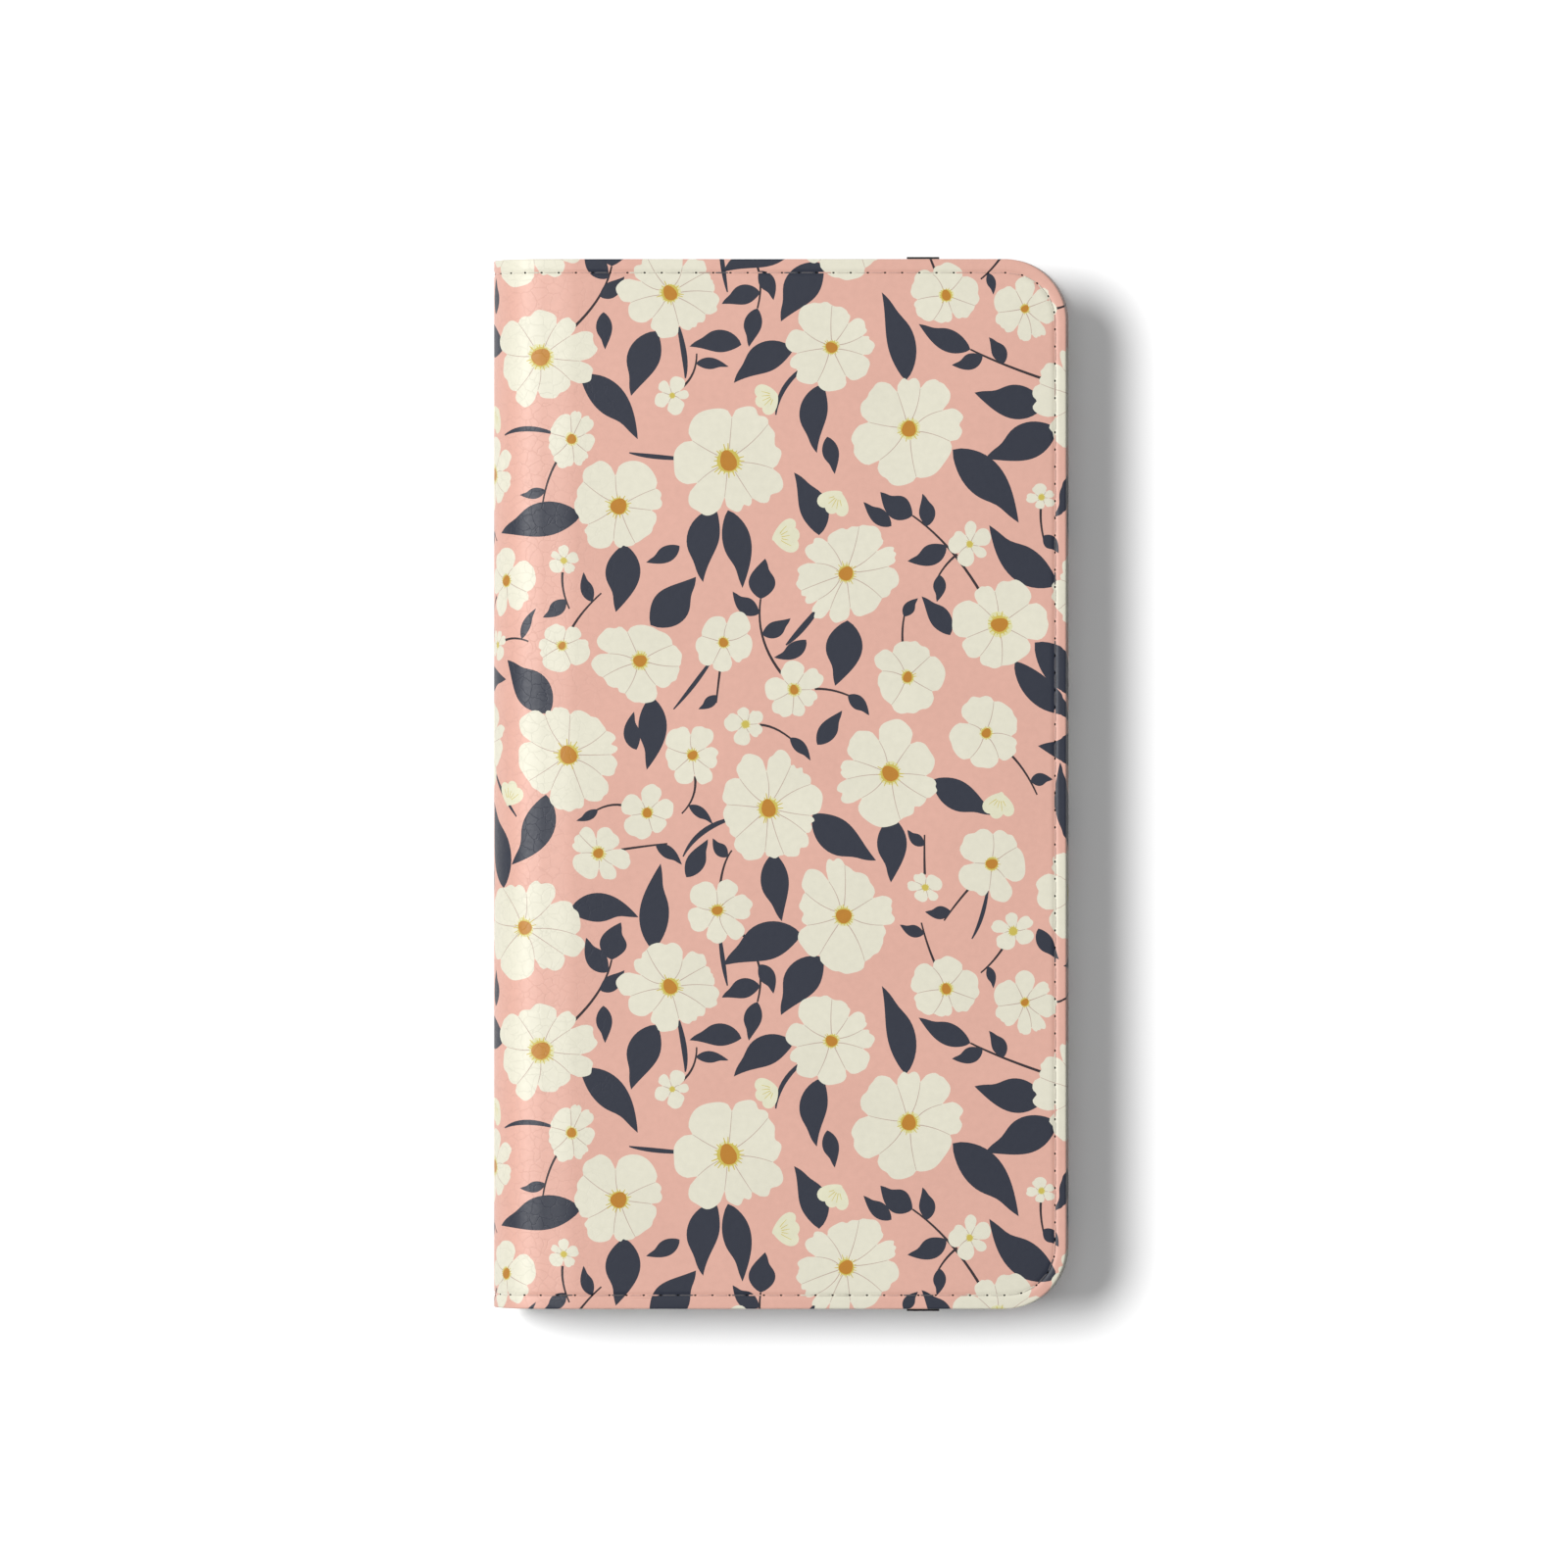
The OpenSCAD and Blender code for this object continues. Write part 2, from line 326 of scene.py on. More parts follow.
    def blade(self, centre, radius):
        """A bare curved stem, thickest near its middle, that leaves a flower."""
        line = self.stalk(centre, radius, (5, 8), 0.3, 3, 11)[0]
        swell = np.sin(np.pi * np.linspace(0.15, 0.97, 11))
        sprig = Sprig()
        sprig.shapes.append((LEAF, ribbon(line, 0.15 + self.rng.uniform(0.5, 0.9) * swell)))
        sprig.samples.append(line)
        return sprig.outside(centre, radius)

    def shoot(self, centre, radius):
        """A thin stem that leaves a small flower, with one small leaf."""
        rng = self.rng
        line, out = self.stalk(centre, radius, (4, 7), 0.4, 2, 9)
        sprig = Sprig()
        sprig.stem(line, 0.4, 0.25)
        angle = out + rng.choice([-0.8, 0.8])
        sprig.leaf(line[6], angle, rng.uniform(3.5, 5.5), rng.uniform(1.4, 2.6), 0.1)
        return sprig.outside(centre, radius)

    def loose_leaf(self):
        rng = self.rng
        sprig = Sprig()
        size = rng.uniform(0.6, 1.0)
        sprig.leaf(self.spot(), rng.uniform(0, math.tau), 9.5 * size, 4.4 * size,
                   rng.uniform(-0.2, 0.2))
        return sprig

    def place_fillers(self):
        for _ in range(7):
            p = min((self.spot() for _ in range(300)), key=lambda q: self.crowd(self.disc(q, 4.2)))
            self.claim(self.disc(p, 3.4))
            self.draw_bud(p, self.rng.uniform(2.6, 3.2))
        for _ in range(16):
            self.best(self.loose_leaf, 300, 0.02)

    # -- the outlines

    def petals(self, centre, radius, count, dips):
        """Petals side by side. Each starts at the centre, and its round end has one small notch."""
        rng = self.rng
        widths = np.array([rng.uniform(0.6, 1.4) for _ in range(count)])
        edges = np.concatenate([[0.0], np.cumsum(widths)]) / widths.sum() * math.tau
        start = rng.uniform(0, math.tau)
        dip = [radius * rng.uniform(*dips) for _ in range(count)]
        dip.append(dip[0])
        squash = rng.uniform(0.84, 1.0)
        found = []
        for k in range(count):
            t = np.linspace(-1.0, 1.0, 17)
            long = radius * rng.uniform(0.84, 1.08)
            full = (1 - np.abs(t) ** 2.4) ** 0.5
            low = np.where(t < 0, dip[k], dip[k + 1])
            ripple = 0.015 * np.sin(rng.uniform(4, 7) * t + rng.uniform(0, 6))
            for _ in range(rng.choice([0, 1, 1, 2])):
                depth = rng.uniform(0.03, 0.08)
                ripple += depth * np.exp(-(((t - rng.uniform(-0.6, 0.6)) / 0.19) ** 2))
            r = low + (long - low) * full - ripple * long * full
            half = (edges[k + 1] - edges[k]) / 2
            a = (edges[k] + edges[k + 1]) / 2 + t * half * (1 - rng.uniform(0.04, 0.16) * full)
            rim = np.column_stack([r * np.cos(a), r * np.sin(a) * squash])
            found.append(turned(np.vstack([[[0.0, 0.0]], rim]), start, centre))
        veins = []
        for k in range(count):
            ray = np.array([math.cos(edges[k]), squash * math.sin(edges[k])])
            bow = rng.uniform(-0.09, 0.09) * radius * np.array([-ray[1], ray[0]])
            line = curve(0.15 * radius * ray, 0.55 * dip[k] * ray + bow, 0.99 * dip[k] * ray, 7)
            veins.append(turned(ribbon(line, np.linspace(0.14, 0.08, 7)), start, centre))
        return found, veins

    def star(self, centre, inner, outer, spikes):
        """A fringe of fine points around the eye of a flower."""
        rng = self.rng
        points = []
        for k in range(spikes):
            a = math.tau * (k + rng.uniform(-0.3, 0.3)) / spikes
            half = 0.2 * math.tau / spikes
            reach = inner + (outer - inner) * rng.uniform(0.1, 1.1)
            points += [(inner, a - half), (reach, a - 0.4 * half)]
            points += [(reach, a + 0.4 * half), (inner, a + half)]
        return np.array([r * facing(a) for r, a in points]) + centre

    def blob(self, centre, radius):
        phase = self.rng.uniform(0, math.tau)
        squash = self.rng.uniform(0.75, 0.95)
        a = np.linspace(0, math.tau, 15)[:-1]
        r = radius * (1 + 0.06 * np.sin(3 * a + phase))
        return turned(np.column_stack([r * np.cos(a), squash * r * np.sin(a)]), phase, centre)

    def draw_flower(self, centre, radius):
        rng = self.rng
        if radius > 7:
            count, dips = rng.choice([7, 8, 9, 10]), (0.6, 0.92)
        elif radius > 4:
            count, dips = rng.choice([5, 6, 7]), (0.45, 0.88)
        else:
            count, dips = 5, (0.35, 0.6)
        petals, veins = self.petals(centre, radius, count, dips)
        eye = radius * rng.uniform(0.12, 0.17)
        self.shapes += [(PETAL, p) for p in petals]
        self.shapes += [(VEIN, v) for v in veins]
        self.shapes.append((HALO, self.blob(centre, eye * rng.uniform(1.25, 1.6))))
        outer = eye * rng.uniform(1.5, 1.8)
        self.shapes.append((STAMEN, self.star(centre, 1.1 * eye, outer, int(11 + radius))))
        if radius > 4:
            self.shapes.append((EYE, self.blob(centre, eye * 1.05)))

    def draw_bud(self, centre, radius):
        """A half-open flower seen from the side."""
        rng = self.rng
        heading = rng.uniform(0, math.tau)
        t = np.linspace(0, math.tau, 21)[:-1]
        for k in (-1, 1, 0):
            reach = radius * rng.uniform(0.65, 0.8)
            half = radius * rng.uniform(0.34, 0.42)
            lobe = np.column_stack([reach * np.cos(t), half * np.sin(t) * (1 + 0.35 * np.cos(t))])
            lobe = turned(lobe + [0.6 * radius, 0.0], heading + rng.uniform(0.5, 0.8) * k, centre)
            self.shapes.append((BUD, lobe))
        for k in range(-2, 3):
            tip = [radius * rng.uniform(0.65, 0.95), 0.1 * k]
            line = curve([0.35 * radius, 0.0], [0.5 * radius, 0.06 * k], tip, 5)
            line = turned(line, heading + 0.28 * k, centre)
            self.shapes.append((STAMEN, ribbon(line, np.linspace(0.12, 0.07, 5))))


# ---------------- the strip of leather


def smooth(t):
    t = np.clip(t, 0.0, 1.0)
    return t * t * (3 - 2 * t)


def on_strip(u, v, height):
    """Places in millimetres of points on the strip, at a height out of its surface."""
    turn = np.clip((SPINE_X - u) / RADIUS, 0.0, math.pi)
    front = np.maximum(u - SPINE_X, 0.0)
    back = np.maximum(SPINE_X - HALF_TURN - u, 0.0)
    r = RADIUS + height
    return np.column_stack([SPINE_X - r * np.sin(turn) + front + back, v, RADIUS + r * np.cos(turn)])


def spine_point(degrees):
    """The point on the spine's surface that far round from the front cover, in metres."""
    u = np.array([SPINE_X - RADIUS * math.radians(degrees)])
    return on_strip(u, np.zeros(1), 0.0)[0] * MM


def inset(points, half, corner):
    """How far points lie inside a rounded rectangle about the origin, and the way straight out."""
    q = np.abs(points) - (np.asarray(half) - corner)
    out = np.maximum(q, 0.0)
    depth = corner - np.hypot(*out.T) - np.minimum(q.max(1), 0.0)
    nearest = (q == q.max(1)[:, None]).astype(float)
    way = unit(np.where((q > 0).all(1)[:, None], out, nearest))
    return depth, way * np.sign(points)


def rounded(half, corner, centre=(0.0, 0.0), steps=24):
    """Outline of a rounded rectangle, anticlockwise."""
    points = []
    for k, (sx, sy) in enumerate(((1, 1), (-1, 1), (-1, -1), (1, -1))):
        a = np.linspace(0, math.pi / 2, steps + 1) + k * math.pi / 2
        middle = np.array([sx * (half[0] - corner), sy * (half[1] - corner)]) + centre
        points.append(middle + corner * np.column_stack([np.cos(a), np.sin(a)]))
    return np.vstack(points)


def cover_line(depth, steps=24):
    """Outline of the whole strip, that far in from its edge."""
    return rounded((REACH - depth, EDGE_Y - depth), CORNER - depth, (CROWN, 0.0), steps)


def window_line(out):
    """Outline of the camera window on the strip, that far out from its edge."""
    half = (WINDOW_HALF[0] + out, WINDOW_HALF[1] + out)
    return rounded(half, WINDOW_CORNER + out, WINDOW_UV, 12)


def rim_depth(u):
    """Depth of the leather's side: it covers board and lining, or on the spine the lining alone."""
    on_cover = smooth((np.abs(u - CROWN) - HALF_TURN / 2 + 0.6) / 1.2)
    return SPINE_T + (COVER_T - SPINE_T) * on_cover


def folded_edge(points):
    """Strip points moved to where the rolled edge takes them, and how far they drop."""
    s, out = inset(points - [CROWN, 0.0], (REACH, EDGE_Y), CORNER)
    past = np.maximum(ROLL - s, 0.0)
    a = np.minimum(past / ROLL, math.pi / 2)
    past = np.maximum(past - ROLL * math.pi / 2, 0.0)
    w = np.minimum(past / WALL, 1.0)
    past = np.maximum(past - WALL, 0.0)
    b = np.minimum(past / TUCK, math.pi / 2)
    past = np.maximum(past - TUCK * math.pi / 2, 0.0)
    away = np.where(s > ROLL, s, ROLL * (1 - np.sin(a)) + TUCK * (1 - np.cos(b)) + past)
    away += LEAN * np.abs(out[:, 0]) * smooth((1.2 - s) / 0.8) * (1 - w)
    straight = rim_depth(points[:, 0]) - ROLL - TUCK
    drop = ROLL * (1 - np.cos(a)) + w * straight + TUCK * np.sin(b)
    return points + out * (s - away)[:, None], drop, s


def folded_window(points):
    """The same round the camera window."""
    s, out = inset(points - WINDOW_UV, WINDOW_HALF, WINDOW_CORNER)
    past = np.maximum(WINDOW_ROLL + s, 0.0)
    a = np.minimum(past / WINDOW_ROLL, math.pi / 2)
    rest = np.maximum(past - WINDOW_ROLL * math.pi / 2, 0.0)
    away = np.where(past > 0, WINDOW_ROLL * (1 - np.sin(a)), -s)
    return points + out * (s + away)[:, None], WINDOW_ROLL * (1 - np.cos(a)) + rest


def spaced(line, pitch):
    """Points at an even pitch round a closed line, and the direction of the line at each."""
    line = closed(line)
    far = np.concatenate([[0.0], np.cumsum(np.hypot(*np.diff(line, axis=0).T))])
    count = round(far[-1] / pitch)
    at = (np.arange(count) + 0.5) * far[-1] / count
    places = np.column_stack([np.interp(at, far, line[:, k]) for k in (0, 1)])
    k = np.searchsorted(far, at) - 1
    return places, unit(line[k + 1] - line[k])


def lines_across(turns, reach, low=-math.inf, high=math.inf):
    """Straight lines across the strip, at the values of u that lie between two limits."""
    return [[(u, -reach), (u, reach)] for u in turns if low < u < high]


# ---------------- meshes


def anticlockwise(outline):
    x, y = outline.T
    area = np.dot(x, np.roll(y, -1)) - np.dot(y, np.roll(x, -1))
    return outline if area > 0 else outline[::-1]


def contains(outline, points):
    """Which points are inside an outline."""
    inside = np.zeros(len(points), bool)
    x, y = points.T
    for (ax, ay), (bx, by) in zip(outline, np.roll(outline, -1, axis=0)):
        if ay != by:
            inside ^= ((ay > y) != (by > y)) & (x < ax + (y - ay) / (by - ay) * (bx - ax))
    return inside


def topmost(points, shapes):
    """The last shape that each point is inside, or -1."""
    found = np.full(len(points), -1)
    order = np.argsort(points[:, 0])
    along = points[order, 0]
    for k, shape in enumerate(shapes):
        low, high = shape.min(0), shape.max(0)
        near = order[np.searchsorted(along, low[0]) : np.searchsorted(along, high[0])]
        near = near[(points[near, 1] > low[1]) & (points[near, 1] < high[1])]
        found[near[contains(shape, points[near])]] = k
    return found


def triangulate(outline, holes=(), lines=(), shapes=()):
    """Triangles that fill an outline but not its holes, with edges along the lines and shapes.
    Gives the points, the triangles, and the input point that each point came from (or -1)."""
    points, edges, faces = [], [], []
    for loop in (outline, *holes):
        loop = anticlockwise(np.asarray(loop))
        faces.append(list(range(len(points), len(points) + len(loop))))
        points += [tuple(p) for p in loop]
    for line in (*lines, *map(closed, shapes)):
        first = len(points)
        points += [tuple(p) for p in line]
        edges += [(k, k + 1) for k in range(first, len(points) - 1)]
    found = delaunay_2d_cdt(points, edges, faces, 0, 1e-5, True)
    triangles = [corners for corners, inside in zip(found[2], found[5]) if inside == [0]]
    used, triangles = np.unique(triangles, return_inverse=True)
    points = np.array([tuple(p) for p in found[0]])[used]
    origin = np.array([o[0] if o else -1 for o in found[3]])[used]
    return points, triangles.reshape(-1, 3), origin


def border(triangles):
    """The open edges of some triangles, in the triangles' own direction."""
    edges = {}
    for a, b, c in triangles.tolist():
        for edge in ((a, b), (b, c), (c, a)):
            if edge[::-1] in edges:
                del edges[edge[::-1]]
            else:
                edges[edge] = True
    return list(edges)


def loops(edges):
    """Border edges joined end to end."""
    after = dict(edges)
    found = []
    while after:
        start, b = after.popitem()
        loop = [start]
        while b != start:
            loop.append(b)
            b = after.pop(b)
        found.append(loop)
    return found


def new_object(name, data):
    """A new object in the scene."""
    made = bpy.data.objects.new(name, data)
    bpy.context.scene.collection.objects.link(made)
    return made


def add_piece(name, places, faces, material):
    """A new piece from places in millimetres."""
    mesh = bpy.data.meshes.new(name)
    mesh.from_pydata((np.asarray(places) * MM).tolist(), [], [tuple(f) for f in faces])
    mesh.update()
    mesh.shade_smooth()
    mesh.set_sharp_from_angle(angle=math.radians(40))
    mesh.materials.append(material)
    piece = new_object(name, mesh)
    return piece


def paint(piece, faces, shades):
    """Stores one colour for each face of a piece, for its material to read."""
    attribute = piece.data.attributes.new("print_colour", "FLOAT_COLOR", "CORNER")
    corners = np.repeat(shades, [len(face) for face in faces], axis=0)
    attribute.data.foreach_set("color", corners.astype(np.float32).ravel())


def chart(piece, name, places):
    """Stores a place for each point of a piece, flat or in space, for its material to read."""
    attribute = piece.data.attributes.new(name, "FLOAT_VECTOR", "POINT")
    full = np.zeros((len(places), 3), np.float32)
    full[:, : places.shape[1]] = places
    attribute.data.foreach_set("vector", full.ravel())


def sheet(name, outline, upper, lower, material, holes, lines):
    """A closed sheet. upper and lower give the places of its two faces from points on the strip."""
    points, triangles, _ = triangulate(outline, holes, lines)
    n = len(points)
    faces = triangles.tolist() + (triangles[:, ::-1] + n).tolist()
    faces += [(b, a, a + n, b + n) for a, b in border(triangles)]
    piece = add_piece(name, np.vstack([upper(points), lower(points)]), faces, material)
    chart(piece, "on_leather", np.tile(points, (2, 1)))
    return piece


# ---------------- materials


def linear(r, g, b):
    """A screen colour from 0 to 255 as the shaders' linear colour."""
    c = np.array([r, g, b]) / 255
    return (*np.where(c <= 0.04045, c / 12.92, ((c + 0.055) / 1.055) ** 2.4).tolist(), 1.0)


class Nodes:
    """Short forms for building a material."""

    def __init__(self, name):
        self.material = bpy.data.materials.new(name)
        self.material.use_nodes = True
        self.tree = self.material.node_tree
        self.shader = self.tree.nodes["Principled BSDF"]

    def add(self, kind, inputs=(), **settings):
        node = self.tree.nodes.new(kind)
        for key, value in settings.items():
            setattr(node, key, value)
        for key, value in dict(inputs).items():
            self.feed(node, key, value)
        return node

    def feed(self, node, key, value):
        if isinstance(value, bpy.types.NodeSocket):
            self.tree.links.new(value, node.inputs[key])
        else:
            node.inputs[key].default_value = value

    def math(self, operation, a, b):
        node = self.add("ShaderNodeMath", {0: a, 1: b}, operation=operation)
        return node.outputs[0]

    def spread(self, value, low, high, new_low, new_high):
        inputs = {"Value": value, "From Min": low, "From Max": high}
        inputs |= {"To Min": new_low, "To Max": new_high}
        return self.add("ShaderNodeMapRange", inputs).outputs[0]

    def noise(self, vector, scale, detail=2.0, out="Fac"):
        inputs = {"Vector": vector, "Scale": scale, "Detail": detail}
        return self.add("ShaderNodeTexNoise", inputs).outputs[out]

    def mix(self, level, dark, light):
        """A colour between two screen colours."""
        inputs = {"Factor": level, 6: linear(*dark), 7: linear(*light)}
        return self.add("ShaderNodeMix", inputs, data_type="RGBA").outputs[2]

    def toned(self, colour, value):
        """A colour made lighter or darker by a factor."""
        return self.add("ShaderNodeHueSaturation", {"Color": colour, "Value": value}).outputs[0]

    def stretched(self, place, scale):
        return self.add("ShaderNodeMapping", {"Vector": place, "Scale": scale}).outputs[0]

    def where(self, name):
        return self.add("ShaderNodeAttribute", attribute_name=name).outputs

    def millimetres(self):
        """Object coordinates in millimetres, for pieces without coordinates of their own."""
        place = self.add("ShaderNodeTexCoord").outputs["Object"]
        scaled = self.add("ShaderNodeVectorMath", {0: place, "Scale": 1 / MM}, operation="SCALE")
        return scaled.outputs[0]

    def bump(self, height, micrometres, under=None):
        """Relief of a height from 0 to 1. under is a broader relief that it lies on."""
        node = self.add("ShaderNodeBump", {"Height": height, "Distance": micrometres * 1e-6})
        if under is not None:
            self.feed(node, "Normal", under)
        self.feed(self.shader, "Normal", node.outputs[0])
        return node.outputs[0]

    def finish(self, **sockets):
        for key, value in sockets.items():
            self.feed(self.shader, key.replace("_", " "), value)
        return self.material


def grain(n, place, cell, width):
    """Leather grain: irregular cells with grooves between them. width is a part of a cell's size."""
    bend = n.noise(place, 0.6 / cell, 3.0, "Color")
    bent = n.add("ShaderNodeVectorMath", {0: bend, "Scale": 1.4 * cell}, operation="SCALE").outputs[0]
    bent = n.add("ShaderNodeVectorMath", {0: place, 1: bent}, operation="ADD").outputs[0]
    inputs = {"Vector": bent, "Scale": 1 / cell}
    cells = n.add("ShaderNodeTexVoronoi", inputs, feature="DISTANCE_TO_EDGE")
    groove = n.spread(cells.outputs["Distance"], 0.0, width, 0.0, 1.0)
    groove.node.interpolation_type = "SMOOTHSTEP"
    return groove


def printed_leather():
    n = Nodes("printed_leather")
    place = n.where("on_leather")["Vector"]
    colour = n.where("print_colour")["Color"]
    mottle = n.spread(n.noise(place, 0.9, 5.0), 0.3, 0.7, 0.9, 0.945)
    worn = n.spread(n.noise(place, 0.06), 0.35, 0.65, 0.985, 1.015)
    along = n.add("ShaderNodeSeparateXYZ", {"Vector": place}).outputs["X"]
    from_crown = n.math("ABSOLUTE", n.math("SUBTRACT", along, CROWN), 0.0)
    # painted shade: the spine's round flanks, within 6 mm of its crown, are darkened to 0.89
    spine_shade = n.spread(from_crown, 6.0, 9.5, 0.89, 1.0)
    tone = n.math("MULTIPLY", n.math("MULTIPLY", mottle, worn), spine_shade)
    flexed = n.spread(from_crown, HALF_TURN / 2, HALF_TURN / 2 + 14, 1.0, 0.12)
    cells = n.math("SUBTRACT", grain(n, place, 1.9, 0.04), 1.0)
    groove = n.math("MULTIPLY", cells, flexed)
    tone = n.math("MULTIPLY", tone, n.spread(groove, -1.0, 0.0, 0.93, 1.0))
    fine = n.noise(place, 5.0, 3.0)
    pebble = n.noise(place, 0.8, 2.0)
    height = n.math("ADD", groove, n.math("MULTIPLY", fine, 0.2))
    height = n.math("ADD", height, n.math("MULTIPLY", pebble, 0.8))
    shoulder = n.spread(from_crown, HALF_TURN / 2 - 2, HALF_TURN / 2 + 5, 0.0, 1.0)
    shoulder.node.interpolation_type = "SMOOTHSTEP"
    n.bump(height, 15, n.bump(shoulder, 650))
    rough = n.spread(n.noise(place, 1.7, 4.0), 0.3, 0.7, 0.42, 0.5)
    return n.finish(Base_Color=n.toned(colour, tone), Roughness=rough, Specular_IOR_Level=0.3)


def thread(name, colour=None):
    """Twisted thread: two plies that wind round each other."""
    n = Nodes(name)
    inputs = {"Vector": n.where("on_thread")["Vector"], "Scale": 1.0}
    ply = n.add("ShaderNodeTexWave", inputs, bands_direction="DIAGONAL").outputs["Fac"]
    own = linear(*colour) if colour else n.where("print_colour")["Color"]
    shade = n.toned(own, n.spread(ply, 0.0, 1.0, 0.83, 0.96))
    n.bump(ply, 25)
    return n.finish(Base_Color=shade, Roughness=0.6, Sheen_Weight=0.3, Sheen_Roughness=0.5)


def microfibre():
    """Brushed lining, with short fibres that lie nearly one way."""
    n = Nodes("microfibre")
    place = n.where("on_leather")["Vector"]
    fibre = n.noise(n.stretched(place, (5.0, 1.6, 1.0)), 1.6, 4.0)
    cloud = n.noise(place, 0.05)
    level = n.math("ADD", n.math("MULTIPLY", fibre, 0.7), n.math("MULTIPLY", cloud, 0.5))
    shade = n.mix(level, (34, 34, 37), (58, 57, 61))
    n.bump(fibre, 60)
    return n.finish(Base_Color=shade, Roughness=0.95, Sheen_Weight=0.6, Sheen_Roughness=0.4)


def pocket_leather():
    n = Nodes("pocket_leather")
    place = n.where("on_leather")["Vector"]
    groove = grain(n, place, 0.8, 0.3)
    shade = n.mix(groove, (34, 34, 36), (42, 41, 44))
    n.bump(n.math("ADD", groove, n.math("MULTIPLY", n.noise(place, 4.0), 0.4)), 30)
    rough = n.spread(n.noise(place, 0.7), 0.3, 0.7, 0.46, 0.58)
    return n.finish(Base_Color=shade, Roughness=rough)


def shell_plastic():
    n = Nodes("shell_plastic")
    place = n.millimetres()
    spark = n.noise(place, 5.0)
    shade = n.mix(n.noise(place, 0.08), (24, 24, 26), (32, 32, 34))
    n.bump(spark, 9)
    return n.finish(Base_Color=shade, Roughness=n.spread(spark, 0.3, 0.7, 0.42, 0.52))


def greyboard():
    n = Nodes("greyboard")
    place = n.millimetres()
    fibre = n.noise(n.stretched(place, (0.4, 2.0, 3.0)), 1.2, 5.0)
    fleck = n.noise(place, 1.1, 3.0)
    shade = n.mix(n.math("MULTIPLY", fibre, fleck), (132, 116, 94), (196, 178, 150))
    n.bump(fibre, 40)
    return n.finish(Base_Color=shade, Roughness=0.9)


def nickel():
    n = Nodes("nickel")
    brushed = n.noise(n.stretched(n.millimetres(), (8.0, 0.4, 1.0)), 1.5, 4.0)
    shade = n.mix(brushed, (176, 176, 180), (204, 203, 204))
    n.bump(brushed, 6)
    rough = n.spread(brushed, 0.3, 0.7, 0.22, 0.36)
    return n.finish(Base_Color=shade, Metallic=1.0, Roughness=rough)


def adhesive_film():
    n = Nodes("adhesive_film")
    place = n.millimetres()
    blot = n.noise(place, 0.4, 3.0)
    shade = n.mix(blot, (206, 204, 194), (226, 225, 217))
    n.bump(n.noise(place, 1.5), 12)
    return n.finish(Base_Color=shade, Roughness=n.spread(blot, 0.3, 0.7, 0.3, 0.5))


# ---------------- printed leather

INK = {
    GROUND: linear(199, 154, 140),
    STEM: linear(42, 34, 38),
    LEAF: linear(38, 42, 54),
    PETAL: linear(201, 198, 181),
    VEIN: linear(166, 146, 134),
    HALO: linear(194, 192, 150),
    STAMEN: linear(180, 164, 74),
    EYE: linear(166, 112, 32),
    BUD: linear(199, 197, 172),
    # painted shade inside the needle holes, which are also dented
    HOLE_SHADE: linear(22, 17, 17),
}
SEAM_POINTS, SEAM_WAYS = spaced(cover_line(SEAM, 60), PITCH)


def needle_holes():
    a = np.linspace(0, math.tau, 9)[:-1]
    ellipse = np.column_stack([HOLE_HALF[0] * np.cos(a), HOLE_HALF[1] * np.sin(a)])
    found = []
    for p, way in zip(SEAM_POINTS, SEAM_WAYS):
        heading = math.atan2(way[1], way[0])
        found.append(turned(ellipse, heading, p))
        found.append(turned(0.5 * ellipse, heading, p))
    return found


def printed_shapes(pattern):
    """The print's outlines all over the strip, lowest first, each with its colour; last the needle holes in
    painted shade.
    """
    rank = {STEM: 0, LEAF: 1}
    ordered = sorted(pattern.shapes, key=lambda shape: rank.get(shape[0], 2))
    low = np.array([CROWN - REACH, -EDGE_Y]) - PAST_EDGE
    high = np.array([CROWN + REACH, EDGE_Y]) + PAST_EDGE
    tints = random.Random(5)
    outlines, colours = [], []
    for kind, outline in ordered:
        tint = tints.uniform(0.985, 1.015)
        colour = [c * tint for c in INK[kind][:3]] + [1.0]
        for across_u in range(-3, 3):
            for across_v in range(-2, 2):
                copy = outline + [across_u * TILE, across_v * TILE]
                if (copy.max(0) > low).all() and (copy.min(0) < high).all():
                    outlines.append(copy)
                    colours.append(colour)
    # dark ellipses over the needle holes: painted shade in the holes
    for hole in needle_holes():
        outlines.append(hole)
        colours.append(INK[HOLE_SHADE])
    return outlines, np.array(colours)


def strip_lines():
    """Lines along which the leather's mesh has its edges: round the rolled edge and the seam,
    round the window, and across the spine. The last ones come a second time, as values of u."""
    rolled = [ROLL - ROLL * math.pi / 2 * k / 4 for k in range(5)]
    wall_end = rolled[-1] - WALL
    tucked = [wall_end - TUCK * math.pi / 2 * k / 3 for k in range(4)]
    seam = [SEAM + d for d in (-0.9, -0.55, -0.35, -0.2, 0.0, 0.2, 0.35, 0.55, 0.9)]
    depths = seam + [RIM] + rolled + [rolled[-1] - WALL / 2] + tucked
    around = [cover_line(d) for d in depths]
    window_steps = [WINDOW_ROLL - WINDOW_ROLL * math.pi / 2 * k / 4 for k in range(5)]
    around += [window_line(d) for d in (2 * WINDOW_ROLL, *window_steps)]
    places = set(np.round(np.arange(-HALF_TURN / 2 - 1.2, HALF_TURN / 2 + 1.3, 0.4), 3))
    for cut in CUTS:
        places |= {round(cut - CROWN + d, 3) for d in (-0.12, -0.05, 0.05, 0.12)}
    turns = sorted([CROWN + d for d in places] + CUTS)
    return [*map(closed, around), *lines_across(turns, EDGE_Y + PAST_EDGE + 1)], turns


